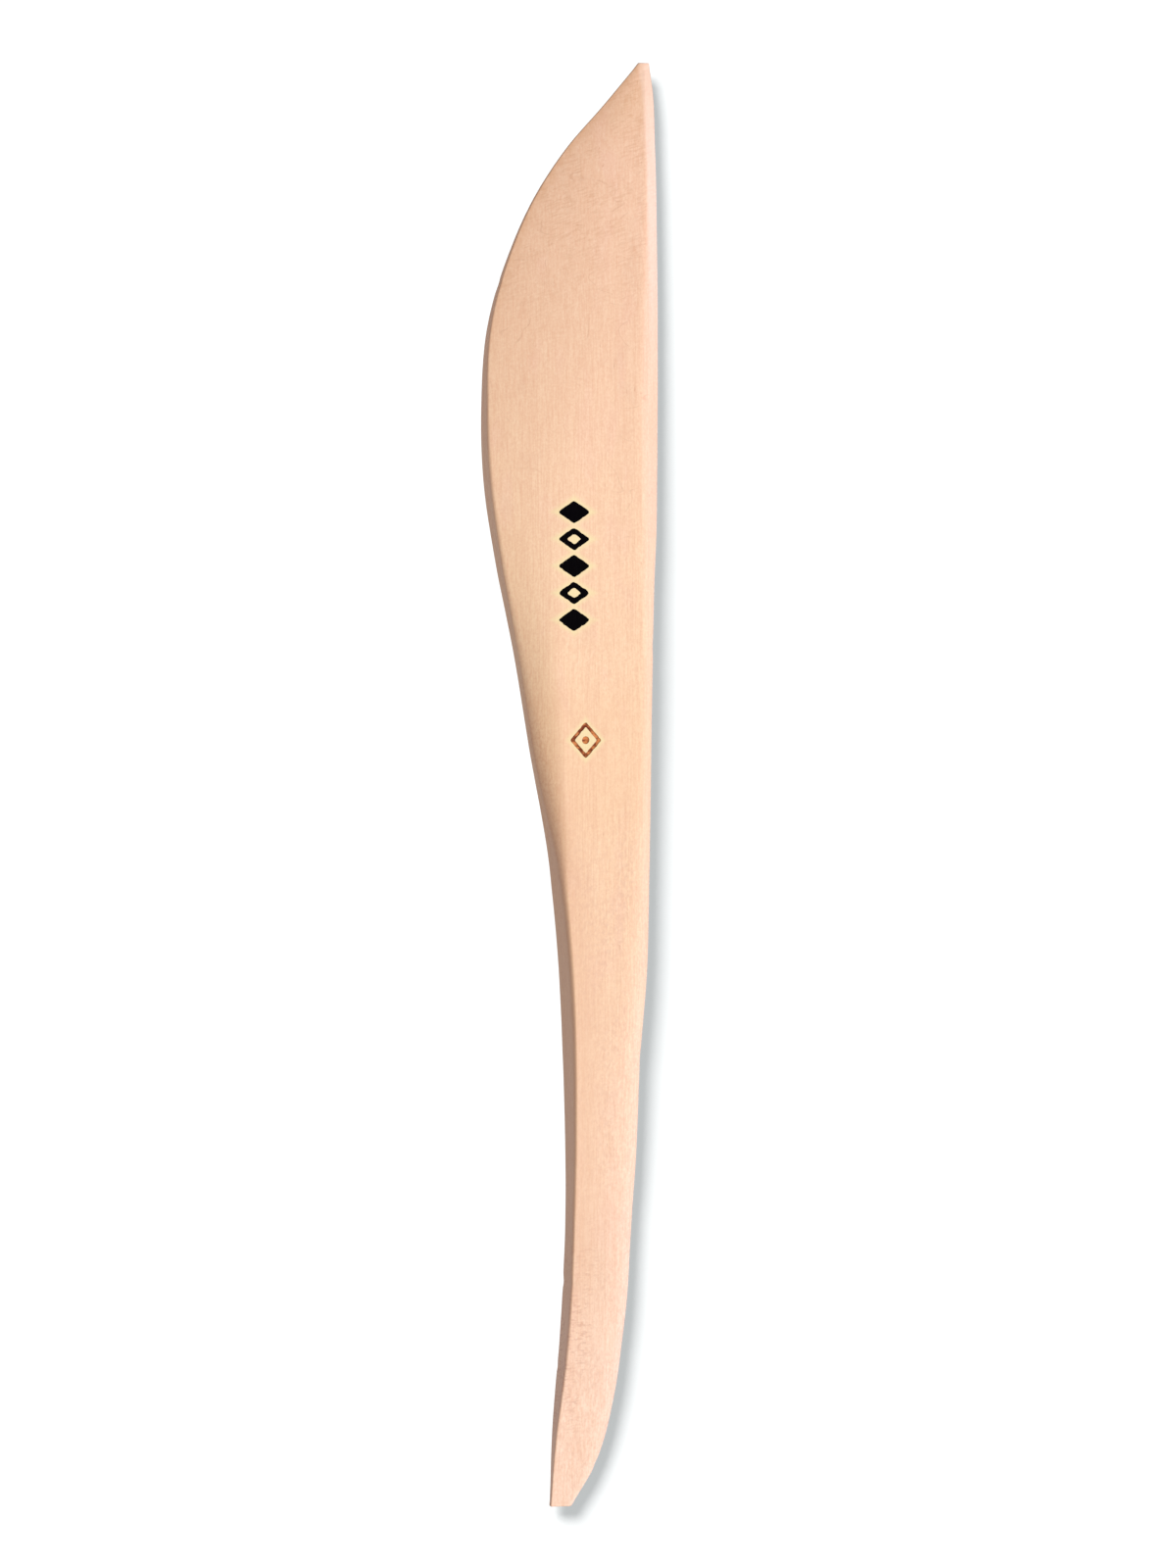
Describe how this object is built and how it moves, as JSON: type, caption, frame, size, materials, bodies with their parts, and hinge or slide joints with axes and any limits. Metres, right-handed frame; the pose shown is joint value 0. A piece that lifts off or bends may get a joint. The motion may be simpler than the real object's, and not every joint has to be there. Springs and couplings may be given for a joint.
{
  "type": "clay modeling tool",
  "caption": "Carved hardwood clay modeling tool: a broad knife-shaped blade runs into a slim curved grip with a narrow square-cut end.",
  "frame": {"origin": "on the table under the middle of the bounding box, with the tool lying on its flat back", "axes": "+Y runs along the tool from the narrow end to the blade's tip, +X points from the blade's cutting edge to its spine, and +Z points out of the marked front face"},
  "size_m": [0.0254, 0.203, 0.0068],
  "materials": {
    "wood": "bare close-grained hardwood, finely sanded, no varnish",
    "ink": "matte black printing ink soaked into the surface",
    "char": "scorched reddish-brown wood"
  },
  "bodies": {
    "root": {"wood_body": "wood", "ink_stamp": "ink", "burnt_mark": "char"}
  },
  "joints": []
}
